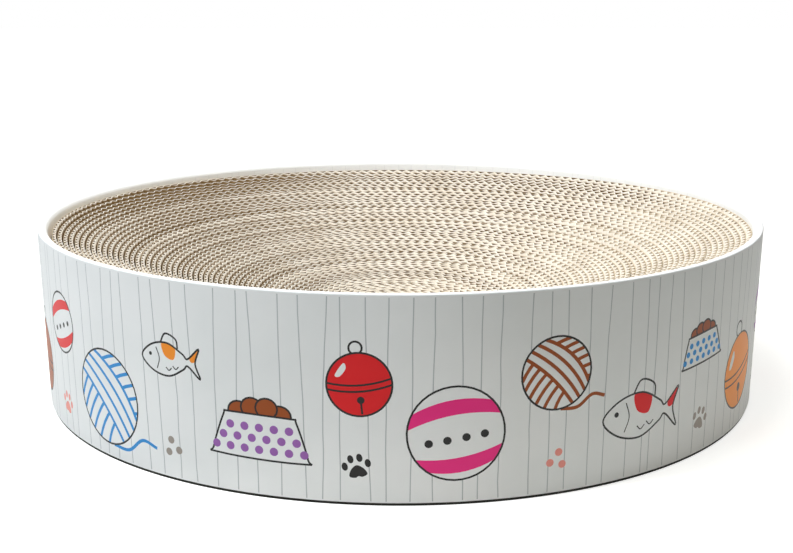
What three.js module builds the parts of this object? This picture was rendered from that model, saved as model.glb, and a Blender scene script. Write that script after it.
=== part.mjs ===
// Cat scratcher bed: a stiff paperboard ring, papered inside and out and closed by a board base,
// holding a lift-out pad of corrugated cardboard strips wound in one spiral with a dished top.
// Millimetres, +Z up, origin at the middle of the underside.

import * as THREE from 'three';

// Ring
const OUTER_DIAMETER = 420;
const HEIGHT = 100;
const TUBE_WALL = 4.5;
const PAPER = 0.35;
const GLUE_LINE = 0.15;
const WRAP_FLOOR_INSET = 0.5;
const WRAP_SEAM_GAP = 0.6;
const BASE_THICKNESS = 3;
const BASE_CLEARANCE = 0.3;

// Pad
const PAD_CLEARANCE = 0.8;
const PAD_SEAT_GAP = 0.3;
const RIM_DROP = 7;
const BOWL_DEPTH = 52;
const BOWL_POWER = 1.8;
const EYE_RADIUS = 3;
const TAIL_THICKNESS = 2;
const LOOP_GAP = 0.6;
const STRIP_END_GAP = 0.6;
const WINDING_START_DEGREES = -30;

// Counts
const STRIPS = 12;
const LOOPS_PER_STRIP = 2;
const STEPS_PER_LOOP = 36;
const ROUND_SEGMENTS = 96;

// Radii of the ring's layers, from the outside in
const wrapOuter = OUTER_DIAMETER / 2;
const wrapInner = wrapOuter - PAPER;
const tubeOuter = wrapInner - GLUE_LINE;
const tubeInner = tubeOuter - TUBE_WALL;
const liningOuter = tubeInner - GLUE_LINE;
const liningInner = liningOuter - PAPER;
const baseRadius = tubeInner - BASE_CLEARANCE;
const padRadius = liningInner - PAD_CLEARANCE;

// Heights
const tubeTop = HEIGHT - PAPER - GLUE_LINE;
const liningFoot = BASE_THICKNESS + BASE_CLEARANCE;
const padFoot = BASE_THICKNESS + PAD_SEAT_GAP;
const padEdgeTop = HEIGHT - RIM_DROP;

// Spiral, clockwise from above: the inner face of the winding moves out by one pitch each turn
const loops = STRIPS * LOOPS_PER_STRIP;
const loopPitch = (padRadius - TAIL_THICKNESS - EYE_RADIUS) / loops;
const windingStart = THREE.MathUtils.degToRad(WINDING_START_DEGREES);

const materials = {
  board: { color: 0xb9a488, roughness: 0.9 },
  print: { color: 0xe9ebed, roughness: 0.55 },
  white: { color: 0xf4f4f2, roughness: 0.6 },
  corrugated: { color: 0xdcc3a0, roughness: 0.95 },
};

function piece(name, geometry, finish) {
  const material = new THREE.MeshStandardMaterial({ ...materials[finish], metalness: 0 });
  const mesh = new THREE.Mesh(geometry, material);
  mesh.name = name;
  return mesh;
}

// A ring turned about Z from a closed section given as [radius, height] corners
function turned(section) {
  const corners = [...section, section[0]].map(([radius, height]) => new THREE.Vector2(radius, height));
  return new THREE.LatheGeometry(corners, ROUND_SEGMENTS).rotateX(Math.PI / 2);
}

function wallTube() {
  return turned([
    [tubeInner, 0],
    [tubeOuter, 0],
    [tubeOuter, tubeTop],
    [tubeInner, tubeTop],
  ]);
}

// Paper on the inner wall, folded outwards over the rim
function innerLining() {
  return turned([
    [liningInner, liningFoot],
    [liningOuter, liningFoot],
    [liningOuter, HEIGHT - PAPER],
    [tubeOuter, HEIGHT - PAPER],
    [tubeOuter, HEIGHT],
    [liningInner, HEIGHT],
  ]);
}

// One sheet round the outside, whose two ends meet at the back
function printedWrap() {
  const back = Math.PI / 2;
  const halfSeam = WRAP_SEAM_GAP / 2 / wrapOuter;
  const start = back + halfSeam;
  const end = back + 2 * Math.PI - halfSeam;
  const sheet = new THREE.Shape();
  sheet.absarc(0, 0, wrapOuter, start, end, false);
  sheet.absarc(0, 0, wrapInner, end, start, true);
  const settings = {
    depth: HEIGHT - WRAP_FLOOR_INSET,
    bevelEnabled: false,
    curveSegments: ROUND_SEGMENTS,
  };
  return new THREE.ExtrudeGeometry(sheet, settings).translate(0, 0, WRAP_FLOOR_INSET);
}

function basePanel() {
  const disc = new THREE.CylinderGeometry(baseRadius, baseRadius, BASE_THICKNESS, ROUND_SEGMENTS);
  return disc.rotateX(Math.PI / 2).translate(0, 0, BASE_THICKNESS / 2);
}

function bowlHeight(radius) {
  return padEdgeTop - BOWL_DEPTH * (1 - (radius / padRadius) ** BOWL_POWER);
}

// The winding's inner and outer faces after a number of turns
function innerFace(turns) {
  return EYE_RADIUS + loopPitch * turns;
}

function outerFace(turns) {
  return Math.min(innerFace(turns) + loopPitch - LOOP_GAP, padRadius);
}

// Turn counts along a strip. The strip stops short of where the next one starts.
function stripTurns(index) {
  const first = index * LOOPS_PER_STRIP;
  const last = first + LOOPS_PER_STRIP;
  const endGap = STRIP_END_GAP / (2 * Math.PI * innerFace(last));
  const steps = LOOPS_PER_STRIP * STEPS_PER_LOOP;
  const turns = [];
  for (let step = 0; step < steps; step += 1) {
    turns.push(first + step / STEPS_PER_LOOP);
  }
  turns.push(last - endGap);
  return turns;
}

function spiralPoint(turns, radius, height) {
  const angle = windingStart - 2 * Math.PI * turns;
  return [radius * Math.cos(angle), radius * Math.sin(angle), height];
}

// A strip's section is four corners: inner foot, outer foot, outer top, inner top
function section(turns) {
  const inner = innerFace(turns);
  const outer = outerFace(turns);
  return [
    spiralPoint(turns, inner, padFoot),
    spiralPoint(turns, outer, padFoot),
    spiralPoint(turns, outer, bowlHeight(outer)),
    spiralPoint(turns, inner, bowlHeight(inner)),
  ];
}

function woundStrip(index) {
  const turns = stripTurns(index);
  const positions = turns.flatMap((turn) => section(turn).flat());
  const sides = 4;
  const triangles = [];
  for (let ring = 0; ring < turns.length - 1; ring += 1) {
    for (let side = 0; side < sides; side += 1) {
      const next = (side + 1) % sides;
      const a = ring * sides + side;
      const b = ring * sides + next;
      triangles.push(a, b + sides, a + sides, a, b, b + sides);
    }
  }
  const end = (turns.length - 1) * sides;
  triangles.push(0, 2, 1, 0, 3, 2);
  triangles.push(end, end + 1, end + 2, end, end + 2, end + 3);
  const geometry = new THREE.BufferGeometry();
  geometry.setAttribute('position', new THREE.Float32BufferAttribute(positions, 3));
  geometry.setIndex(triangles);
  geometry.computeVertexNormals();
  return geometry;
}

// Least distance between the points of a strip's outer face and those of its next loop's inner face
function leastLoopGap(index) {
  const turns = stripTurns(index);
  const halfTurn = 0.5;
  let least = Infinity;
  for (const here of turns) {
    const outside = new THREE.Vector3(...spiralPoint(here, outerFace(here), 0));
    for (const there of turns) {
      if (there - here > halfTurn) {
        const inside = new THREE.Vector3(...spiralPoint(there, innerFace(there), 0));
        least = Math.min(least, outside.distanceTo(inside));
      }
    }
  }
  return least;
}

const bed = new THREE.Group();
bed.add(piece('wall_tube', wallTube(), 'board'));
bed.add(piece('inner_lining', innerLining(), 'white'));
bed.add(piece('printed_wrap', printedWrap(), 'print'));
bed.add(piece('base_panel', basePanel(), 'board'));

for (let index = 0; index < STRIPS; index += 1) {
  const name = `corrugated_strip_${String(index + 1).padStart(2, '0')}`;
  bed.add(piece(name, woundStrip(index), 'corrugated'));
  console.log(`${name}: least gap to itself ${leastLoopGap(index).toFixed(2)} mm`);
}

export default bed;
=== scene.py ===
import math

import bpy
import numpy as np
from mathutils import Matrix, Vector
from mathutils.geometry import delaunay_2d_cdt


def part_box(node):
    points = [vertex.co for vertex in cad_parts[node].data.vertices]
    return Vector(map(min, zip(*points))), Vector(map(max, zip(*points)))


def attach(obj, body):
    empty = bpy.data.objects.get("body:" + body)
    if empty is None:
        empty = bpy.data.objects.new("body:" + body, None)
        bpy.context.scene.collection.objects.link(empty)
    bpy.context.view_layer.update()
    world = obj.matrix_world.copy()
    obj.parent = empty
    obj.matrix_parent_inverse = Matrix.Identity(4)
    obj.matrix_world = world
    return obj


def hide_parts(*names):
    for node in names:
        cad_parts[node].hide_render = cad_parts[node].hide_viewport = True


# A round cat scratcher bed: a papered board ring with a printed wrap, and a dished pad of wound board
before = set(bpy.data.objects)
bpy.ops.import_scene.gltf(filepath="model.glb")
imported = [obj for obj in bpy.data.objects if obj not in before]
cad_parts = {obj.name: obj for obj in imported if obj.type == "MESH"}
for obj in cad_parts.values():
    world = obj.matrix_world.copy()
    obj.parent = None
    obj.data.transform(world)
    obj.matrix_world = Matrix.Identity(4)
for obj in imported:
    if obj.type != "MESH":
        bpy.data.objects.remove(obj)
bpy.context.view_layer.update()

MM = 0.001
TAU = 2 * math.pi

# Sizes read from the frame
STRIP_NODES = sorted(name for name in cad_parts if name.startswith("corrugated_strip"))
ring_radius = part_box("printed_wrap")[1][0]
ring_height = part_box("inner_lining")[1][2]
tube_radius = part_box("wall_tube")[1][0]
tube_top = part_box("wall_tube")[1][2]
lining_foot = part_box("inner_lining")[0][2]
pad_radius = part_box(STRIP_NODES[-1])[1][0]
pad_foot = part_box(STRIP_NODES[-1])[0][2]
pad_edge_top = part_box(STRIP_NODES[-1])[1][2]

# Ring
TUBE_WALL = 4.5 * MM
PAPER = 0.35 * MM
PAD_CLEARANCE = 0.8 * MM
RIM_ROUNDING = 0.7 * MM
RIM_INNER_ROUNDING = 3.0 * MM
SEAM_GAP = 0.6 * MM
# The wrap stops short of the floor to show the tube's foot; the next two give the height and the sides of the
# tube's section painted near black as a contact shadow along the foot
FOOT_REVEAL = 1.5 * MM
FOOT_SHADOW_HEIGHT = 3 * MM
FOOT_SHADOW_SIDES = 2
AROUND = 256
RIM_STEPS = 6
FOLD_STEPS = 4
SHARP_EDGE = math.radians(40)

# Print on the wrap
LINE_WIDTH = 0.55 * MM
LINE_SPACING = 10.5 * MM
LINE_PLACES = (0.2, 0.8)
LINE_POINTS = 13
LINE_SWAY = 0.55 * MM
SWAY_WINDOW = 5
LINE_LEAN = 0.9 * MM
LINING_LINE_START = 0.15
LINING_LINE_SPREAD = 0.7
FAINT = 0.15
PEN = 0.95 * MM
THIN_PEN = 0.6 * MM
YARN = 1.7 * MM
PRINT_MARGIN = 0.7 * MM
PRINT_START = 3.6 * MM
PLACES = 28
LOW_ROW = (33 * MM, 24.5 * MM)
HIGH_ROW = (60 * MM, 17.5 * MM)
FILLER_ROW = (19 * MM, 7.5 * MM)
PLACE_JITTER_IN_MM = 2
MOTIF_TURN = 0.2
FILLER_TURN = 0.5
PRINT_SEED = 11
SMOOTH_STEPS = 6
CHORD_STEPS = 10
MERGE = 0.001 * MM
FILL_THE_HULL = 0

# Pad
BOWL_DEPTH = 52 * MM
BOWL_POWER = 1.8
PAD_LEAN = 1.0 * MM
LEAN_TOWARDS = math.radians(140)
SIDES_UP = 2.8 * MM
EYE_RADIUS = 3 * MM
WINDING_ALLOWANCE = 0.5 * MM
TURNS_PER_STRIP = 5.5
FLUTES_MORE_EACH_TURN = 2.8
BOARD = 2.95 * MM
LOOSE_GAP = 0.85 * MM
LINER = 0.25 * MM
MEDIUM = 0.44 * MM
FLUTE_STEPS = 8
LINER_STEPS = 3
STEP_SHARE = 0.22
LOOSE_STEP_SHARE = 0.75
TURN_RISE = 0.5 * MM
TURN_SEED = 7
SPIRAL_START = math.radians(-30)
STRIP_END_GAP = 0.3 * MM
# Each painted shade, darker below the cut where shade falls between the turns: the depth where it starts, the
# depth where it is full, and the tilt of both
FACE_PAINTED_SHADE = (0.95 * MM, 2.5 * MM, 1.2 * MM)
CELL_PAINTED_SHADE = (-0.45 * MM, 1.0 * MM, 3.1 * MM)
# The painted shade starts deeper towards this side, where the side light reaches further into the pad
PAINTED_SHADE_LOWER_TOWARDS = math.radians(-20)
# How much the painted shade starts deeper towards the front at both sides
PAINTED_SHADE_TWIST = 1.35
# Band below the cut that carries the graded painted shade; the walls below it take the dark painted shade of
# the deep walls
PAINTED_SHADE_BAND = 4.5 * MM

turns_in_all = round(TURNS_PER_STRIP * len(STRIP_NODES))
winding_radius = pad_radius + WINDING_ALLOWANCE
ply = (winding_radius - EYE_RADIUS) / (turns_in_all + 1)
flute_pitch = TAU * ply / FLUTES_MORE_EACH_TURN
lining_radius = pad_radius + PAD_CLEARANCE
fold_radius = ring_radius - RIM_ROUNDING
rim_centre = (lining_radius + RIM_INNER_ROUNDING, ring_height - RIM_INNER_ROUNDING)
tube_inside = tube_radius - TUBE_WALL
sheet_length = TAU * ring_radius - SEAM_GAP
seam_angle = math.pi / 2 + SEAM_GAP / 2 / ring_radius


def srgb(red, green, blue):
    """A colour given as 0 to 255, as the linear values that a shader takes."""
    channels = [value / 255 for value in (red, green, blue)]
    linear = [c / 12.92 if c <= 0.04045 else ((c + 0.055) / 1.055) ** 2.4 for c in channels]
    return (*linear, 1.0)


# Looks: noise scales, ranges of roughness, bumps with their strength and distance, and shine
WHITE = (1, 1, 1, 1)
# Painted shade: the colour the kraft darkens to far below the cut
PAINTED_SHADE_BROWN = srgb(126, 104, 72)
NOISE_ROUGHNESS = 0.55
KRAFT_CLOUD = 55
KRAFT_ROUGH = (0.82, 0.97)
KRAFT_SHINE = 0.2
FIBRE = 900
FIBRE_STRETCH = (1, 1, 0.25)
FIBRE_SHADE = (0.8, 0.8, 0.8, 1)
FIBRE_STRENGTH = 0.7
FIBRE_BUMP = (0.25, 0.2 * MM)
PAPER_CLOUD = 18
PAPER_ROUGH = (0.5, 0.62)
PAPER_SHINE = 0.15
TOOTH = 1400
TOOTH_BUMP = (0.08, 0.1 * MM)
INK_ROUGH = (0.42, 0.56)
INK_SHINE = 0.25


class Nodes:
    """A new material's node tree, with short ways to add nodes and join them."""

    def __init__(self, name):
        self.material = bpy.data.materials.new(name)
        self.material.use_nodes = True
        self.tree = self.material.node_tree
        self.shader = self.tree.nodes["Principled BSDF"]
        self.place = self.add("ShaderNodeTexCoord").outputs["Object"]

    def add(self, kind, **settings):
        node = self.tree.nodes.new(kind)
        for key, value in settings.items():
            setattr(node, key, value)
        return node

    def join(self, source, target):
        self.tree.links.new(source, target)

    def stretched(self, scale):
        node = self.add("ShaderNodeMapping")
        node.inputs["Scale"].default_value = scale
        self.join(self.place, node.inputs["Vector"])
        return node.outputs["Vector"]

    def split_place(self):
        parts = self.add("ShaderNodeSeparateXYZ")
        self.join(self.place, parts.inputs["Vector"])
        return parts.outputs

    def noise(self, scale, detail, vector=None):
        node = self.add("ShaderNodeTexNoise")
        node.inputs["Scale"].default_value = scale
        node.inputs["Detail"].default_value = detail
        node.inputs["Roughness"].default_value = NOISE_ROUGHNESS
        self.join(vector or self.place, node.inputs["Vector"])
        return node.outputs["Fac"]

    def ramp(self, value, *stops):
        node = self.add("ShaderNodeValToRGB")
        elements = node.color_ramp.elements
        while len(elements) < len(stops):
            elements.new(0.5)
        for element, (at, colour) in zip(elements, stops):
            element.position = at
            element.color = colour
        self.join(value, node.inputs["Fac"])
        return node.outputs["Color"]

    def give(self, value, socket):
        """Sets a socket to a plain value, or joins it to another node's output."""
        if isinstance(value, bpy.types.NodeSocket):
            self.join(value, socket)
        else:
            socket.default_value = value

    def blend(self, how, factor, first, second):
        node = self.add("ShaderNodeMix", data_type="RGBA", blend_type=how)
        self.give(factor, node.inputs["Factor"])
        self.give(first, node.inputs["A"])
        self.give(second, node.inputs["B"])
        return node.outputs["Result"]

    def spread(self, value, low, high, start=0.0, end=1.0):
        """A value's range from start to end, spread over another range from low to high."""
        node = self.add("ShaderNodeMapRange")
        node.inputs["From Min"].default_value = start
        node.inputs["From Max"].default_value = end
        node.inputs["To Min"].default_value = low
        node.inputs["To Max"].default_value = high
        self.join(value, node.inputs["Value"])
        return node.outputs["Result"]

    def bump(self, height, strength, distance):
        node = self.add("ShaderNodeBump")
        node.inputs["Strength"].default_value = strength
        node.inputs["Distance"].default_value = distance
        self.join(height, node.inputs["Height"])
        self.join(node.outputs["Normal"], self.shader.inputs["Normal"])

    def maths(self, operation, first, second=0.0):
        node = self.add("ShaderNodeMath", operation=operation)
        self.give(first, node.inputs[0])
        self.give(second, node.inputs[1])
        return node.outputs["Value"]

    def upright_lines(self):
        """Faint thin upright lines below the rim, one in each stretch of the wall at a place of its own."""
        parts = self.split_place()
        angle = self.maths("ARCTAN2", parts["Y"], parts["X"])
        along = self.maths("MULTIPLY", angle, ring_radius / LINE_SPACING)
        stretch = self.maths("FLOOR", along)
        chance = self.add("ShaderNodeTexWhiteNoise", noise_dimensions="1D")
        self.join(stretch, chance.inputs["W"])
        share = self.maths("MULTIPLY", chance.outputs["Value"], LINING_LINE_SPREAD)
        place = self.maths("ADD", share, LINING_LINE_START)
        offset = self.maths("SUBTRACT", self.maths("SUBTRACT", along, stretch), place)
        on_line = self.maths("LESS_THAN", self.maths("ABSOLUTE", offset), LINE_WIDTH / LINE_SPACING / 2)
        below_rim = self.maths("LESS_THAN", parts["Z"], ring_height - RIM_INNER_ROUNDING)
        return self.maths("MULTIPLY", self.maths("MULTIPLY", on_line, below_rim), FAINT)

    def depth_below_cut(self, start, end, tilt):
        """Depth under the bowl's surface, from 0 at one depth to 1 at another.

        It masks the painted shade of the kraft, which stands in for the shade between the turns. The surface
        leans and rises at its sides, as in top_height. Both depths are tilted to lie lower one way, and
        twisted to lie lower towards the front at both sides, painting where the side light reaches deeper
        into the pad.
        """
        parts = self.split_place()
        level = self.add("ShaderNodeCombineXYZ")
        self.join(parts["X"], level.inputs["X"])
        self.join(parts["Y"], level.inputs["Y"])
        radius = self.add("ShaderNodeVectorMath", operation="LENGTH")
        self.join(level.outputs["Vector"], radius.inputs[0])
        share = self.maths("DIVIDE", radius.outputs["Value"], pad_radius)
        rise = self.maths("MULTIPLY", self.maths("POWER", share, BOWL_POWER), BOWL_DEPTH)
        along_x = PAD_LEAN * math.cos(LEAN_TOWARDS) - tilt * math.cos(PAINTED_SHADE_LOWER_TOWARDS)
        along_y = PAD_LEAN * math.sin(LEAN_TOWARDS) - tilt * math.sin(PAINTED_SHADE_LOWER_TOWARDS)
        lean = self.add("ShaderNodeVectorMath", operation="DOT_PRODUCT")
        self.join(self.place, lean.inputs[0])
        lean.inputs[1].default_value = (along_x / pad_radius, along_y / pad_radius, 0)
        sideways = self.maths("ABSOLUTE", parts["X"])
        corner = self.maths("MULTIPLY", sideways, parts["Y"])
        twist = self.maths("MULTIPLY", corner, tilt * PAINTED_SHADE_TWIST / pad_radius**2)
        square = self.maths("MULTIPLY", sideways, sideways)
        sides = self.maths("MULTIPLY", square, SIDES_UP / pad_radius**2)
        bowl = self.maths("ADD", rise, pad_edge_top - BOWL_DEPTH)
        leaning = self.maths("ADD", bowl, lean.outputs["Value"])
        surface = self.maths("ADD", self.maths("ADD", leaning, sides), twist)
        return self.spread(self.maths("SUBTRACT", surface, parts["Z"]), 0, 1, start, end)

    def colour(self, output):
        self.join(output, self.shader.inputs["Base Color"])

    def rough(self, output):
        self.join(output, self.shader.inputs["Roughness"])

    def plain(self, colour):
        self.shader.inputs["Base Color"].default_value = colour

    def shine(self, level):
        self.shader.inputs["Specular IOR Level"].default_value = level


def fibres(nodes):
    """Gives a look the fine fibres and dull surface of kraft paper."""
    fibre = nodes.noise(FIBRE, detail=2, vector=nodes.stretched(FIBRE_STRETCH))
    nodes.rough(nodes.spread(fibre, *KRAFT_ROUGH))
    nodes.bump(fibre, *FIBRE_BUMP)
    nodes.shine(KRAFT_SHINE)
    return fibre


def paper_tooth(nodes, rough, shine):
    """Gives a look the fine tooth of coated paper."""
    tooth = nodes.noise(TOOTH, detail=2)
    nodes.rough(nodes.spread(tooth, *rough))
    nodes.bump(tooth, *TOOTH_BUMP)
    nodes.shine(shine)


def kraft(name, dark, mid, light, painted_shade=None):
    """Raw kraft paper: mottled tone, fine fibres and a dull surface. A painted shade darkens it below the
    cut, where shade falls between the turns.
    """
    nodes = Nodes(name)
    cloud = nodes.noise(KRAFT_CLOUD, detail=4)
    tone = nodes.ramp(cloud, (0.3, dark), (0.5, mid), (0.72, light))
    streak = nodes.ramp(fibres(nodes), (0.3, FIBRE_SHADE), (0.7, WHITE))
    colour = nodes.blend("MULTIPLY", FIBRE_STRENGTH, tone, streak)
    if painted_shade:
        # Painted shade, darker with depth below the cut
        shade = nodes.ramp(nodes.depth_below_cut(*painted_shade), (0.0, WHITE), (1.0, PAINTED_SHADE_BROWN))
        colour = nodes.blend("MULTIPLY", 1.0, colour, shade)
    nodes.colour(colour)
    return nodes.material


def deep_kraft(name, colour):
    """Kraft far down between the turns in one dark tone, a painted shade, with fibres in its surface."""
    nodes = Nodes(name)
    nodes.plain(colour)
    fibres(nodes)
    return nodes.material


def paper(name, colour, cloudy, ruled=None):
    """Smooth coated paper with a faint cloudiness and a little tooth. Ruled paper has thin upright lines."""
    nodes = Nodes(name)
    tone = nodes.ramp(nodes.noise(PAPER_CLOUD, detail=4), (0.3, cloudy), (0.6, colour))
    if ruled:
        tone = nodes.blend("MIX", nodes.upright_lines(), tone, ruled)
    nodes.colour(tone)
    paper_tooth(nodes, PAPER_ROUGH, PAPER_SHINE)
    return nodes.material


def ink_look(name, colour):
    """Printing ink: one colour, slightly glossier than the paper, with the paper's tooth under it."""
    nodes = Nodes(name)
    nodes.plain(colour)
    paper_tooth(nodes, INK_ROUGH, INK_SHINE)
    return nodes.material


def put_in_scene(name, data):
    """A new object of the scene, with its mesh, camera or light."""
    thing = bpy.data.objects.new(name, data)
    bpy.context.scene.collection.objects.link(thing)
    return thing


def new_piece(name, vertices, faces, materials, face_slots=None):
    mesh = bpy.data.meshes.new(name)
    mesh.from_pydata(vertices, [], faces)
    for material in materials:
        mesh.materials.append(material)
    if face_slots is not None:
        mesh.polygons.foreach_set("material_index", face_slots)
    mesh.validate()
    return put_in_scene(name, mesh)


def bowl_height(radius):
    return pad_edge_top - BOWL_DEPTH * (1 - (radius / pad_radius) ** BOWL_POWER)


def ply_radius(angle):
    """Inner face of the winding after turning through an angle, counted from its start."""
    return EYE_RADIUS + ply * angle / TAU


def run_length(angle):
    """Length of board, along the middle of the ply, up to an angle of the winding."""
    return (EYE_RADIUS + ply / 2) * angle + ply * angle * angle / (2 * TAU)


def angle_at(length):
    """The winding's angle after a length of board: run_length turned round."""
    middle = EYE_RADIUS + ply / 2
    return TAU / ply * (np.sqrt(middle * middle + 2 * ply / TAU * length) - middle)


draws = np.random.default_rng(TURN_SEED)
turn_rise = draws.normal(0, TURN_RISE, turns_in_all + 2)


def hand_height(angle):
    """How far a turn sits above or below the smooth bowl, changing slowly along the winding."""
    at = angle / TAU
    low = np.floor(at).astype(int)
    share = at - low
    share = share * share * (3 - 2 * share)
    return turn_rise[low] * (1 - share) + turn_rise[low + 1] * share


def looseness(angle):
    """The pad is pressed towards +X: 1 where its turns lie loosest, at -X, and 0 over the +X half."""
    return np.maximum(-np.cos(SPIRAL_START - angle), 0)


def top_height(radius, angle):
    """Height of the cut edge: partly a smooth bowl, partly a step at each turn, most where they are loose."""
    turn_middle = ply_radius(angle) + ply / 2
    share = STEP_SHARE + (LOOSE_STEP_SHARE - STEP_SHARE) * looseness(angle)
    level = (1 - share) * radius + share * turn_middle
    turned = SPIRAL_START - angle
    lean = PAD_LEAN * np.cos(turned - LEAN_TOWARDS) * radius / pad_radius
    sides = SIDES_UP * (np.cos(turned) * radius / pad_radius) ** 2
    return bowl_height(np.minimum(level, pad_radius)) + lean + sides + hand_height(angle)


def around(radius, angle, height):
    turned = SPIRAL_START - angle
    return np.stack([radius * np.cos(turned), radius * np.sin(turned), height], axis=1)


# Material slots of a strip
CUT, LINER_CUT, FACE, CELL, DEEP_WALL, OUTSIDE = range(6)

# Corners of a ribbon's section, and where its sides and ends lie on the texture
SECTION = 6
MAP_ROWS = 3
MAP_LINES = 2 * SECTION * MAP_ROWS
MAP_EDGE = 0.01
MAP_WIDTH = 1 - 2 * MAP_EDGE
MAP_LINE = (0.12, 0.88)
MAP_CAP_ACROSS = (0.001, 0.008)
MAP_CAP_UP = (0.1, 0.9)
CAP_FACES = 4


class Ribbons:
    """Collects upright ribbons, each a closed strip of board standing on the pad's foot."""

    def __init__(self):
        self.vertices = []
        self.faces = []
        self.slots = []
        self.maps = []
        self.count = 0

    def add(self, angle_in, radius_in, angle_out, radius_out, angle, outer_look, cut_look, inner_look):
        """A ribbon with a section of six corners. The last turn of the winding shows its outer side."""
        foot = np.full(len(angle), pad_foot)
        top_in = top_height(radius_in, angle)
        top_out = top_height(radius_out, angle)
        corners = np.stack(
            [
                around(radius_in, angle_in, foot),
                around(radius_out, angle_out, foot),
                around(radius_out, angle_out, top_out - PAINTED_SHADE_BAND),
                around(radius_out, angle_out, top_out),
                around(radius_in, angle_in, top_in),
                around(radius_in, angle_in, top_in - PAINTED_SHADE_BAND),
            ],
            axis=1,
        )
        steps = len(angle)
        first = self.count + SECTION * np.arange(steps - 1)[:, None]
        side = np.arange(SECTION)[None, :]
        after = (side + 1) % SECTION
        beyond = first + SECTION
        quads = np.stack([first + side, first + after, beyond + after, beyond + side], axis=2)
        # Below the band, both sides take the dark painted shade of the deep walls
        slots = np.tile([CUT, DEEP_WALL, outer_look, cut_look, inner_look, DEEP_WALL], (steps - 1, 1))
        if outer_look == FACE:
            # Sides 1 and 2 are the lower and upper part of the outer side
            slots[angle[1:] > (turns_in_all - 1) * TAU, 1:3] = OUTSIDE
        start_cap = self.count + np.array([[5, 2, 1, 0], [4, 3, 2, 5]])
        end_cap = self.count + SECTION * (steps - 1) + np.array([[0, 1, 2, 5], [5, 2, 3, 4]])
        self.maps.append(self.ribbon_map(steps - 1, len(self.maps)))
        self.vertices.append(corners.reshape(-1, 3))
        self.faces.append(np.concatenate([quads.reshape(-1, 4), start_cap, end_cap]))
        self.slots.append(np.concatenate([slots.ravel(), np.full(CAP_FACES, CUT)]))
        self.count += SECTION * steps

    def ribbon_map(self, steps, ribbon):
        """Texture places of a ribbon: each side unrolled in a few lines, one above the other."""
        at = np.arange(steps) * MAP_ROWS / steps
        row = at.astype(int)
        left = MAP_EDGE + MAP_WIDTH * (at - row)
        right = np.minimum(left + MAP_WIDTH * MAP_ROWS / steps, 1 - MAP_EDGE)
        line = (ribbon * SECTION + np.arange(SECTION)[None, :]) * MAP_ROWS + row[:, None]
        low = (line + MAP_LINE[0]) / MAP_LINES
        high = (line + MAP_LINE[1]) / MAP_LINES
        left = np.broadcast_to(left[:, None], line.shape)
        right = np.broadcast_to(right[:, None], line.shape)
        places = np.stack([left, low, left, high, right, high, right, low], axis=2).reshape(-1, 2)
        near, far = MAP_CAP_ACROSS
        bottom, top = MAP_CAP_UP
        cap = np.array([[near, bottom], [near, top], [far, top], [far, bottom]])
        cap_lines = ribbon * CAP_FACES + np.arange(CAP_FACES)
        caps = [(cap + [0, cap_line]) * [1, 1 / MAP_LINES] for cap_line in cap_lines]
        return np.concatenate([places, *caps])

    def piece(self, name, materials):
        vertices = np.concatenate(self.vertices)
        faces = np.concatenate(self.faces)
        slots = np.concatenate(self.slots)
        mesh = bpy.data.meshes.new(name)
        mesh.vertices.add(len(vertices))
        mesh.vertices.foreach_set("co", vertices.ravel())
        mesh.loops.add(faces.size)
        mesh.loops.foreach_set("vertex_index", faces.ravel().astype(np.int32))
        mesh.polygons.add(len(faces))
        mesh.polygons.foreach_set("loop_start", np.arange(0, faces.size, 4, dtype=np.int32))
        for material in materials:
            mesh.materials.append(material)
        mesh.polygons.foreach_set("material_index", slots.astype(np.int32))
        mesh.polygons.foreach_set("use_smooth", slots > LINER_CUT)
        mesh.update(calc_edges=True)
        layer = mesh.uv_layers.new(name="OFBake")
        layer.data.foreach_set("uv", np.concatenate(self.maps).ravel().astype(np.float32))
        mesh.validate()
        return put_in_scene(name, mesh)


def even_lengths(start, end, steps_per_flute):
    """Lengths of board in even steps, from one angle of the winding to another."""
    first = run_length(start)
    last = run_length(end)
    return np.linspace(first, last, int((last - first) / flute_pitch * steps_per_flute))


def add_liner(ribbons, start, end):
    angle = angle_at(even_lengths(start, end, LINER_STEPS))
    outer = ply_radius(angle) + ply
    ribbons.add(angle, outer - LINER, angle, outer, angle, FACE, LINER_CUT, CELL)


def add_medium(ribbons, start, end):
    length = even_lengths(start, end, FLUTE_STEPS)
    angle = angle_at(length)
    board = BOARD - LOOSE_GAP * looseness(angle)
    swing = (board - LINER - MEDIUM) / 2
    phase = TAU * length / flute_pitch
    middle = ply_radius(angle) + ply - (board + LINER) / 2 + swing * np.sin(phase)
    slope = swing * TAU / flute_pitch * np.cos(phase)
    lean = np.sqrt(1 + slope * slope)
    across = MEDIUM / 2 / lean
    along = MEDIUM / 2 * slope / lean / middle
    ribbons.add(angle + along, middle - across, angle - along, middle + across, angle, CELL, CUT, FACE)


cut_edge = kraft("kraft_cut_edge", srgb(249, 240, 225), srgb(252, 245, 232), srgb(254, 249, 240))
liner_cut = kraft("kraft_liner_edge", srgb(206, 186, 154), srgb(216, 197, 166), srgb(226, 208, 178))
# The faces and the insides of the flutes carry painted shade below the cut; the insides of the flutes also
# take darker tones, painted shade in the closed cells
board_face = kraft("kraft_face", srgb(230, 216, 196), srgb(240, 228, 211), srgb(246, 237, 222), FACE_PAINTED_SHADE)
cell_face = kraft(
    "kraft_inside_flutes", srgb(182, 163, 137), srgb(196, 178, 152), srgb(208, 190, 164), CELL_PAINTED_SHADE
)
# Painted shade: the walls far down between the turns take one dark brown
deep_wall = deep_kraft("kraft_painted_shade_between_turns", srgb(94, 72, 42))
outside = kraft("kraft_outside", srgb(206, 180, 142), srgb(218, 194, 158), srgb(228, 206, 172))
looks = [cut_edge, liner_cut, board_face, cell_face, deep_wall, outside]

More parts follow.
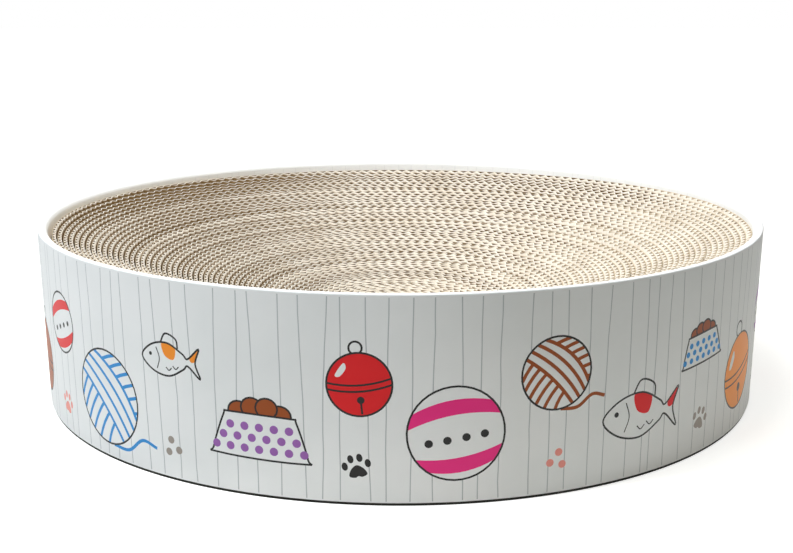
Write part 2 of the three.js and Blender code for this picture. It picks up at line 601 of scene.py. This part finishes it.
for index, node in enumerate(STRIP_NODES):
    start = index * TURNS_PER_STRIP * TAU
    end = start + TURNS_PER_STRIP * TAU
    butt = STRIP_END_GAP / ply_radius(end)
    ribbons = Ribbons()
    add_liner(ribbons, start, end - butt)
    add_medium(ribbons, start, end - butt)
    strip = ribbons.piece(f"wound_board_{index + 1:02d}", looks)
    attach(strip, "pad")
    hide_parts(node)


def turned_piece(name, section, materials, side_slots=None):
    """A ring turned from a closed section of (radius, height) corners, with a material slot for each side."""
    angles = np.linspace(0, TAU, AROUND, endpoint=False)
    count = len(section)
    vertices = [
        (radius * math.cos(angle), radius * math.sin(angle), height)
        for angle in angles
        for radius, height in section
    ]
    faces = []
    for step in range(AROUND):
        for corner in range(count):
            here = step * count
            there = (step + 1) % AROUND * count
            after = (corner + 1) % count
            faces.append((here + corner, there + corner, there + after, here + after))
    piece = new_piece(name, vertices, faces, materials, side_slots and side_slots * AROUND)
    piece.data.polygons.foreach_set("use_smooth", [True] * len(faces))
    piece.data.set_sharp_from_angle(angle=SHARP_EDGE)
    return piece


def arc(centre, radius, start, end, steps):
    """Points on an arc of a section, angles in degrees."""
    turns = [math.radians(start + (end - start) * step / steps) for step in range(steps + 1)]
    return [(centre[0] + radius * math.cos(a), centre[1] + radius * math.sin(a)) for a in turns]


line_grey = srgb(186, 188, 190)
white = paper("white_paper", srgb(251, 251, 249), srgb(247, 247, 244), ruled=line_grey)
print_paper = paper("print_paper", srgb(241, 241, 241), srgb(235, 236, 236))
greyboard = kraft("greyboard", srgb(150, 138, 118), srgb(168, 156, 134), srgb(184, 172, 150))
# Near-black band at the tube's foot: a painted contact shadow
foot_painted_shadow = kraft("painted_foot_shadow", srgb(38, 37, 35), srgb(46, 45, 42), srgb(58, 56, 52))

lining = turned_piece(
    "lining_and_rim",
    [
        (lining_radius, lining_foot),
        (lining_radius + PAPER, lining_foot),
        *arc(rim_centre, RIM_INNER_ROUNDING - PAPER, 180, 90, RIM_STEPS),
        (fold_radius, ring_height - PAPER),
        (fold_radius, ring_height),
        *arc(rim_centre, RIM_INNER_ROUNDING, 90, 180, RIM_STEPS),
    ],
    [white],
)
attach(lining, "ring")
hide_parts("inner_lining")

tube_section = [
    (tube_inside, 0),
    (tube_radius, 0),
    (tube_radius, FOOT_SHADOW_HEIGHT),
    (tube_radius, tube_top),
    *arc(rim_centre, rim_centre[0] - tube_inside, 90, 180, RIM_STEPS),
]
# The tube's underside and lowest outer side take the near black of the painted contact shadow
foot_shadow_slots = [int(side < FOOT_SHADOW_SIDES) for side in range(len(tube_section))]
tube = turned_piece("board_tube", tube_section, [greyboard, foot_painted_shadow], foot_shadow_slots)
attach(tube, "ring")
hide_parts("wall_tube")


def smooth(corners, closed=True):
    """A rounded line through a few corners."""
    points = np.array(corners, float)
    if closed:
        points = np.concatenate([points[-1:], points, points[:2]])
    else:
        points = np.concatenate([2 * points[:1] - points[1:2], points, 2 * points[-1:] - points[-2:-1]])
    share = np.linspace(0, 1, SMOOTH_STEPS, endpoint=False)[:, None]
    stretches = []
    for before, here, there, after in zip(points, points[1:], points[2:], points[3:]):
        bend = 2 * before - 5 * here + 4 * there - after
        twist = 3 * here - before - 3 * there + after
        stretches.append(here + ((there - before) * share + bend * share**2 + twist * share**3) / 2)
    if not closed:
        stretches.append(points[-2:-1])
    return np.concatenate(stretches)


def ellipse(x, y, wide, high, steps):
    turns = np.linspace(0, TAU, steps, endpoint=False)
    return np.stack([x + wide * np.cos(turns), y + high * np.sin(turns)], axis=1)


def chord(offset, bow, tilt):
    """A bowed line across the unit circle, turned by a tilt."""
    half = math.sqrt(1 - offset * offset)
    across = np.linspace(-half, half, CHORD_STEPS)
    rise = offset + bow * (1 - (across / half) ** 2)
    along = across * math.cos(tilt) - rise * math.sin(tilt)
    up = across * math.sin(tilt) + rise * math.cos(tilt)
    return np.stack([along, up], axis=1)


class Sheet:
    """The unrolled wrap, seen from outside. Inks are laid in order, the later ones on top."""

    def __init__(self):
        self.points = []
        self.faces = []
        self.inks = []

    def polygon(self, points, ink):
        points = np.asarray(points)
        after = np.roll(points, -1, axis=0)
        if np.sum(points[:, 0] * after[:, 1] - after[:, 0] * points[:, 1]) < 0:
            points = points[::-1]
        first = len(self.points)
        self.points += [Vector(point) for point in points]
        self.faces.append(list(range(first, first + len(points))))
        self.inks.append(ink)

    def line(self, points, width, ink, closed=False):
        """A pen line, as a chain of short pieces whose four corners are taken in order round their middle."""
        points = np.asarray(points)
        along = np.roll(points, -1, axis=0) - np.roll(points, 1, axis=0)
        if not closed:
            along[0] = points[1] - points[0]
            along[-1] = points[-1] - points[-2]
        side = np.stack([-along[:, 1], along[:, 0]], axis=1)
        side *= width / 2 / np.linalg.norm(side, axis=1, keepdims=True)
        left = points + side
        right = points - side
        for here in range(0 if closed else 1, len(points)):
            corners = np.array([left[here - 1], left[here], right[here], right[here - 1]])
            spokes = corners - corners.mean(axis=0)
            self.polygon(corners[np.argsort(np.arctan2(spokes[:, 1], spokes[:, 0]))], ink)


INKS = {
    "bare": None,
    "line_grey": line_grey,
    "black": srgb(22, 20, 20),
    "brown": srgb(150, 72, 24),
    "orange": srgb(245, 145, 40),
    "red": srgb(224, 28, 34),
    "pink": srgb(240, 44, 132),
    "salmon": srgb(236, 150, 138),
    "taupe": srgb(156, 146, 138),
    "lilac": srgb(152, 96, 172),
    "blue": srgb(44, 140, 208),
}
INK_NAMES = list(INKS)


class Motif:
    """Draws on the sheet in a frame of its own, whose unit is the motif's radius."""

    def __init__(self, sheet, place, radius, turn):
        self.sheet = sheet
        self.place = np.array(place)
        self.axes = radius * np.array([[math.cos(turn), math.sin(turn)], [-math.sin(turn), math.cos(turn)]])

    def there(self, points):
        return self.place + np.asarray(points) @ self.axes

    def fill(self, points, ink):
        self.sheet.polygon(self.there(points), INK_NAMES.index(ink))

    def line(self, points, ink="black", width=PEN, closed=False):
        self.sheet.line(self.there(points), width, INK_NAMES.index(ink), closed)

    def shape(self, points, ink):
        self.fill(points, ink)
        self.line(points, closed=True)


def yarn_ball(draw, ink):
    draw.line(smooth([(0.1, -1), (0.6, -1.02), (1.05, -0.74), (1.45, -0.84)], closed=False), ink, YARN)
    ball = ellipse(0, 0, 1, 1, 40)
    draw.fill(ball, "bare")
    for offset in (-0.75, -0.5, -0.25, 0, 0.25, 0.5):
        draw.line(chord(offset, 0.22, 0.65), ink, YARN)
    patch = np.concatenate([chord(-0.3, 0.1, -0.8), chord(0.42, 0.2, -0.8)[::-1]])
    draw.fill(patch, "bare")
    for offset in (-0.3, -0.06, 0.18, 0.42):
        draw.line(chord(offset, 0.1 + 0.14 * (offset + 0.3), -0.8), ink, YARN)
    draw.line(ball, closed=True)


def fish(draw, ink):
    back = [(-1, 0), (-0.62, 0.36), (-0.05, 0.46), (0.45, 0.22), (0.62, 0.1), (1, 0.42)]
    belly = [(x, -y) for x, y in reversed(back[1:])]
    body = smooth([*back, (0.86, 0), *belly])
    draw.line(smooth([(-0.3, 0.42), (-0.1, 0.72), (0.25, 0.6), (0.3, 0.34)], closed=False))
    draw.fill(body, "bare")
    draw.fill(smooth([(-0.26, 0.43), (0.0, 0.45), (0.22, 0.35), (0.14, 0.02), (-0.16, 0.1)]), ink)
    draw.fill(smooth([(0.7, 0.14), (0.97, 0.38), (0.88, 0.08), (0.74, 0.02)]), ink)
    draw.line(body, closed=True)
    draw.line(smooth([(-0.46, 0.3), (-0.36, 0), (-0.46, -0.3)], closed=False), width=THIN_PEN)
    draw.line(smooth([(0.1, -0.16), (0.2, -0.24), (0.3, -0.16)], closed=False), width=THIN_PEN)
    draw.line(smooth([(-0.14, -0.22), (-0.04, -0.3), (0.06, -0.22)], closed=False), width=THIN_PEN)
    draw.fill(ellipse(-0.68, 0.09, 0.055, 0.055, 12), "black")


def food_bowl(draw, ink):
    for x, y in ((-0.42, 0.3), (0.42, 0.3), (-0.15, 0.4), (0.15, 0.42)):
        draw.shape(ellipse(x, y, 0.22, 0.2, 18), "brown")
    right = [(0.62, 0.27), (0.74, 0.2), (0.97, -0.5), (0.88, -0.6)]
    left = [(-x, y) for x, y in reversed(right)]
    draw.shape(smooth([*right, *left]), "bare")
    for row, y in enumerate((0.02, -0.2, -0.42)):
        for column in range(5 + row):
            x = (column - (4 + row) / 2) * 0.3
            draw.fill(ellipse(x, y, 0.085, 0.085, 14), ink)


def toy_ball(draw, ink):
    ball = ellipse(0, 0, 0.92, 0.92, 40)
    draw.fill(ball, "bare")
    for low, high, bow in ((-0.72, -0.4, -0.12), (0.24, 0.56, 0.16)):
        band = np.concatenate([chord(low, bow, 0.35), chord(high, bow, 0.35)[::-1]]) * 0.92
        draw.fill(band, ink)
    for x in (-0.5, -0.17, 0.17, 0.5):
        draw.fill(ellipse(x + 0.03, x * 0.36 - 0.1, 0.08, 0.08, 14), "black")
    draw.line(ball, closed=True)


def jingle_bell(draw, ink):
    draw.line(ellipse(0, 0.98, 0.17, 0.17, 18), closed=True)
    ball = ellipse(0, 0, 0.85, 0.85, 40)
    draw.fill(ball, ink)
    draw.fill(smooth([(-0.6, 0.3), (-0.35, 0.6), (-0.3, 0.45), (-0.48, 0.25)]), "bare")
    draw.line(ball, closed=True)
    draw.line(chord(0.12, -0.14, 0) * 0.85)
    draw.line(chord(-0.08, -0.14, 0) * 0.85)
    draw.fill(ellipse(0, -0.42, 0.1, 0.1, 16), "black")
    draw.line([(0, -0.42), (0, -0.8)])


def paw_print(draw, ink):
    side = [(0.4, -0.2), (0.56, -0.6), (0.22, -0.74)]
    draw.fill(smooth([(0, 0.06), *side, (0, -0.66), *[(-x, y) for x, y in reversed(side)]]), ink)
    for x, y in ((-0.72, 0.08), (-0.28, 0.5), (0.28, 0.5), (0.72, 0.08)):
        draw.fill(ellipse(x, y, 0.19, 0.27, 16), ink)


def three_dots(draw, ink):
    for turn in range(3):
        angle = math.pi / 2 + turn * TAU / 3
        draw.fill(ellipse(0.5 * math.cos(angle), 0.5 * math.sin(angle), 0.26, 0.26, 16), ink)


def print_sheet():
    """Thin upright lines all round, and cat toys scattered in two rows over the lower part."""
    dice = np.random.default_rng(PRINT_SEED)

    def jitter():
        return dice.uniform(-PLACE_JITTER_IN_MM, PLACE_JITTER_IN_MM) * MM

    sheet = Sheet()
    grey = INK_NAMES.index("line_grey")
    low = FOOT_REVEAL + PRINT_MARGIN
    high = ring_height - RIM_ROUNDING - PRINT_MARGIN
    heights = np.linspace(low, high, LINE_POINTS)
    lines = round(sheet_length / LINE_SPACING)
    for line in range(lines):
        place = (line + dice.uniform(*LINE_PLACES)) * sheet_length / lines
        sway = dice.normal(0, LINE_SWAY, LINE_POINTS)
        padded = np.pad(sway, SWAY_WINDOW // 2, mode="edge")
        wave = np.convolve(padded, np.ones(SWAY_WINDOW) / SWAY_WINDOW, mode="valid")
        lean = dice.normal(0, LINE_LEAN) * np.linspace(-1, 1, LINE_POINTS)
        sheet.line(np.stack([place + wave + lean, heights], axis=1), LINE_WIDTH, grey)
    kinds = (yarn_ball, fish, food_bowl, jingle_bell, toy_ball)
    small_kinds = (paw_print, three_dots)
    inks = ("pink", "brown", "red", "blue", "orange", "lilac", "red")
    small_inks = ("black", "salmon", "taupe")
    for index in range(PLACES):
        along = PRINT_START + (index + 0.5) * sheet_length / PLACES
        height, radius = (LOW_ROW, HIGH_ROW)[index % 2]
        place = (along + jitter(), height + jitter())
        motif = Motif(sheet, place, radius, dice.uniform(-MOTIF_TURN, MOTIF_TURN))
        kinds[index % len(kinds)](motif, inks[index % len(inks)])
        if index % 2:
            filler = index // 2
            height, radius = FILLER_ROW
            place = (along, height + jitter())
            motif = Motif(sheet, place, radius, dice.uniform(-FILLER_TURN, FILLER_TURN))
            small_kinds[filler % len(small_kinds)](motif, small_inks[filler % len(small_inks)])
    return sheet


# The wrap's texture: rows of tiles, each with a shelf for bare paper, one for ink and one for edges
MAP_TILES = 4
PAPER_SHELF = (0.02, 0.46)
INK_SHELF = (0.5, 0.92)
EDGE_SHELF = (0.95, 0.98)


def sheet_map(along, share, shelf):
    """Places on the wrap's texture, from places along the sheet and shares of the shelf's height."""
    tile_length = sheet_length / MAP_TILES**2
    tile = np.minimum((np.mean(along) / tile_length).astype(int), MAP_TILES**2 - 1)
    low, high = shelf
    across = MAP_EDGE + MAP_WIDTH * (along / tile_length - tile)
    up = low + (high - low) * share
    return np.stack([across + tile % MAP_TILES, up + tile // MAP_TILES], axis=1) / MAP_TILES


def wrap_around(name, sheet, materials):
    """The sheet closed round the ring, folded over at the rim, with its inks as faces of its outer side."""
    foot = FOOT_REVEAL
    top = ring_height - RIM_ROUNDING
    columns = np.linspace(0, sheet_length, AROUND + 1)
    first = len(sheet.points)
    points = sheet.points + [Vector((column, height)) for column in columns for height in (foot, top)]
    low_points = range(first, len(points), 2)
    high_points = range(first + 1, len(points), 2)
    edges = [*zip(low_points, high_points)]
    edges += [*zip(low_points, low_points[1:]), *zip(high_points, high_points[1:])]
    flat, _, faces, merged, _, covers = delaunay_2d_cdt(
        points, edges, sheet.faces, FILL_THE_HULL, MERGE, True
    )
    index_of = {point: index for index, group in enumerate(merged) for point in group}
    flat = np.array([tuple(point) for point in flat])
    slots = [sheet.inks[max(cover)] if cover else 0 for cover in covers]
    places = []
    for face, slot in zip(faces, slots):
        corners = flat[face]
        share = (corners[:, 1] - foot) / (top - foot)
        places.append(sheet_map(corners[:, 0], share, INK_SHELF if slot else PAPER_SHELF))

    def on_ring(along, radius, height):
        angle = seam_angle + along / ring_radius
        return np.stack([radius * np.cos(angle), radius * np.sin(angle), height + 0 * angle], axis=1)

    vertices = [on_ring(flat[:, 0], ring_radius, flat[:, 1])]
    count = len(flat)
    rows = [[index_of[point] for point in high_points]]
    section = [
        *arc((fold_radius, top), RIM_ROUNDING, 0, 90, FOLD_STEPS)[1:],
        (fold_radius, ring_height - PAPER),
        (ring_radius - PAPER, top),
        (ring_radius - PAPER, foot),
    ]
    for radius, height in section:
        rows.append(list(range(count, count + AROUND + 1)))
        vertices.append(on_ring(columns, radius, height))
        count += AROUND + 1
    rows.append([index_of[point] for point in low_points])
    printed = len(faces)
    for level, (row, beyond) in enumerate(zip(rows, rows[1:])):
        share = np.array([level, level, level + 1, level + 1]) / (len(rows) - 1)
        for column in range(AROUND):
            faces.append([row[column], row[column + 1], beyond[column + 1], beyond[column]])
            along = columns[[column, column + 1, column + 1, column]]
            places.append(sheet_map(along, share, EDGE_SHELF))
    for end, order in ((0, 1), (AROUND, -1)):
        faces.append([row[end] for row in rows][::order])
        along = np.full(len(rows), columns[end])
        places.append(sheet_map(along, np.linspace(0, 1, len(rows)), EDGE_SHELF))
    slots += [0] * (len(faces) - printed)
    vertices = np.concatenate(vertices)
    piece = new_piece(name, vertices, faces, materials, slots)
    mesh = piece.data
    layer = mesh.uv_layers.new(name="OFBake")
    layer.data.foreach_set("uv", np.concatenate(places).ravel().astype(np.float32))
    mesh.polygons.foreach_set("use_smooth", [True] * len(mesh.polygons))
    mesh.set_sharp_from_angle(angle=SHARP_EDGE)
    normals = np.zeros((len(mesh.loops), 3))
    corners = np.concatenate([np.array(face) for face in faces[:printed]])
    normals[: len(corners), :2] = vertices[corners, :2] / ring_radius
    mesh.normals_split_custom_set(normals)
    return piece


ink_looks = [ink_look(f"ink_{name}", colour) for name, colour in INKS.items() if colour]
wrap = wrap_around("printed_sheet", print_sheet(), [print_paper, *ink_looks])
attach(wrap, "ring")
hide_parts("printed_wrap")

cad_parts["base_panel"].data.materials.clear()
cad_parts["base_panel"].data.materials.append(greyboard)

# Camera, lights, sky and floor
CAMERA_PLACE = (0.0, -720.3 * MM, 229.1 * MM)
CAMERA_DIP = math.radians(16.584)
CAMERA_LENS = 54.91
CAMERA_SHIFT = (-0.0048, 0.0864)
CAMERA_NEAR = 0.01
LIGHTS_AIM = (0, 0, 0.08)
KEY_PLACE = (-1.2, -0.55, 1.5)
KEY_SIZE = 0.3
KEY_POWER = 21.5
KEY_COLOUR = (0.84, 0.915, 1.0)
OVERHEAD_PLACE = (-0.08, -0.1, 0.72)
OVERHEAD_SIZE = 0.36
OVERHEAD_POWER = 3.9
OVERHEAD_COLOUR = (0.985, 0.992, 1.0)
BOUNCE_PLACE = (0.075, -0.02, 0.0003)
BOUNCE_SIZE = 0.5
BOUNCE_POWER = 0.16
BOUNCE_COLOUR = (1.0, 0.98, 0.9)
SKY_COLOUR = (1, 0.995, 0.9, 1)
SKY_AT_HORIZON = 0.04
SKY_OVERHEAD = 0.28
FLOOR_HALF = 6
FLOOR_COLOUR = (0.74, 0.735, 0.69, 1)
FLOOR_ROUGHNESS = 0.9
FLOOR_GLOW = (0.72, 1.0)
FLOOR_GLOW_REACH = (0.35, 1.0)

camera = put_in_scene("camera", bpy.data.cameras.new("camera"))
camera.location = CAMERA_PLACE
camera.rotation_euler = (math.pi / 2 - CAMERA_DIP, 0, 0)
camera.data.lens = CAMERA_LENS
camera.data.shift_x, camera.data.shift_y = CAMERA_SHIFT
camera.data.clip_start = CAMERA_NEAR
bpy.context.scene.camera = camera


def area_light(name, shape, place, size, power, colour):
    data = bpy.data.lights.new(name, "AREA")
    data.shape = shape
    data.size = size
    data.size_y = size
    data.energy = power
    data.color = colour
    light = put_in_scene(name, data)
    light.location = place
    return light


def aim(light, target):
    light.rotation_euler = (Vector(target) - light.location).to_track_quat("-Z", "Y").to_euler()


key = area_light("key", "RECTANGLE", KEY_PLACE, KEY_SIZE, KEY_POWER, KEY_COLOUR)
aim(key, LIGHTS_AIM)
overhead = area_light("overhead", "RECTANGLE", OVERHEAD_PLACE, OVERHEAD_SIZE, OVERHEAD_POWER, OVERHEAD_COLOUR)
aim(overhead, LIGHTS_AIM)
bounce = area_light("floor_bounce", "DISK", BOUNCE_PLACE, BOUNCE_SIZE, BOUNCE_POWER, BOUNCE_COLOUR)
bounce.rotation_euler = (math.pi, 0, 0)
bounce.visible_camera = False


def seen_directly(tree):
    """1 for rays that show the background itself: straight from the camera, mirrored or seen through."""
    path = tree.nodes.new("ShaderNodeLightPath")
    total = path.outputs["Is Camera Ray"]
    for kind in ("Is Glossy Ray", "Is Transmission Ray"):
        node = tree.nodes.new("ShaderNodeMath")
        node.operation = "MAXIMUM"
        tree.links.new(total, node.inputs[0])
        tree.links.new(path.outputs[kind], node.inputs[1])
        total = node.outputs["Value"]
    return total


# Soft light from above, dimmer towards the horizon, in front of a white background
world = bpy.data.worlds.new("world")
bpy.context.scene.world = world
world.use_nodes = True
sky = world.node_tree
upward = sky.nodes.new("ShaderNodeSeparateXYZ")
sky.links.new(sky.nodes.new("ShaderNodeTexCoord").outputs["Generated"], upward.inputs["Vector"])
overcast = sky.nodes.new("ShaderNodeMapRange")
overcast.inputs["To Min"].default_value = SKY_AT_HORIZON
overcast.inputs["To Max"].default_value = SKY_OVERHEAD
sky.links.new(upward.outputs["Z"], overcast.inputs["Value"])
soft_light = sky.nodes["Background"]
soft_light.inputs["Color"].default_value = SKY_COLOUR
sky.links.new(overcast.outputs["Result"], soft_light.inputs["Strength"])
backdrop = sky.nodes.new("ShaderNodeBackground")
backdrop.inputs["Color"].default_value = WHITE
either = sky.nodes.new("ShaderNodeMixShader")
sky.links.new(seen_directly(sky), either.inputs["Fac"])
sky.links.new(soft_light.outputs["Background"], either.inputs[1])
sky.links.new(backdrop.outputs["Background"], either.inputs[2])
sky.links.new(either.outputs["Shader"], sky.nodes["World Output"].inputs["Surface"])

# Pale floor, which glows to white with distance where it is seen and keeps a faint shadow
floor_look = Nodes("floor")
floor_look.plain(FLOOR_COLOUR)
floor_look.shine(0.0)
floor_look.shader.inputs["Roughness"].default_value = FLOOR_ROUGHNESS
floor_look.shader.inputs["Emission Color"].default_value = WHITE
floor_far = floor_look.add("ShaderNodeVectorMath", operation="LENGTH")
floor_look.join(floor_look.place, floor_far.inputs[0])
floor_glow = floor_look.spread(floor_far.outputs["Value"], *FLOOR_GLOW, *FLOOR_GLOW_REACH)
glow = floor_look.maths("MULTIPLY", seen_directly(floor_look.tree), floor_glow)
floor_look.join(glow, floor_look.shader.inputs["Emission Strength"])
floor_corners = [(x * FLOOR_HALF, y * FLOOR_HALF, 0) for x, y in ((-1, -1), (1, -1), (1, 1), (-1, 1))]
floor = new_piece("floor", floor_corners, [(0, 1, 2, 3)], [floor_look.material])

bpy.context.scene.view_settings.view_transform = "Standard"
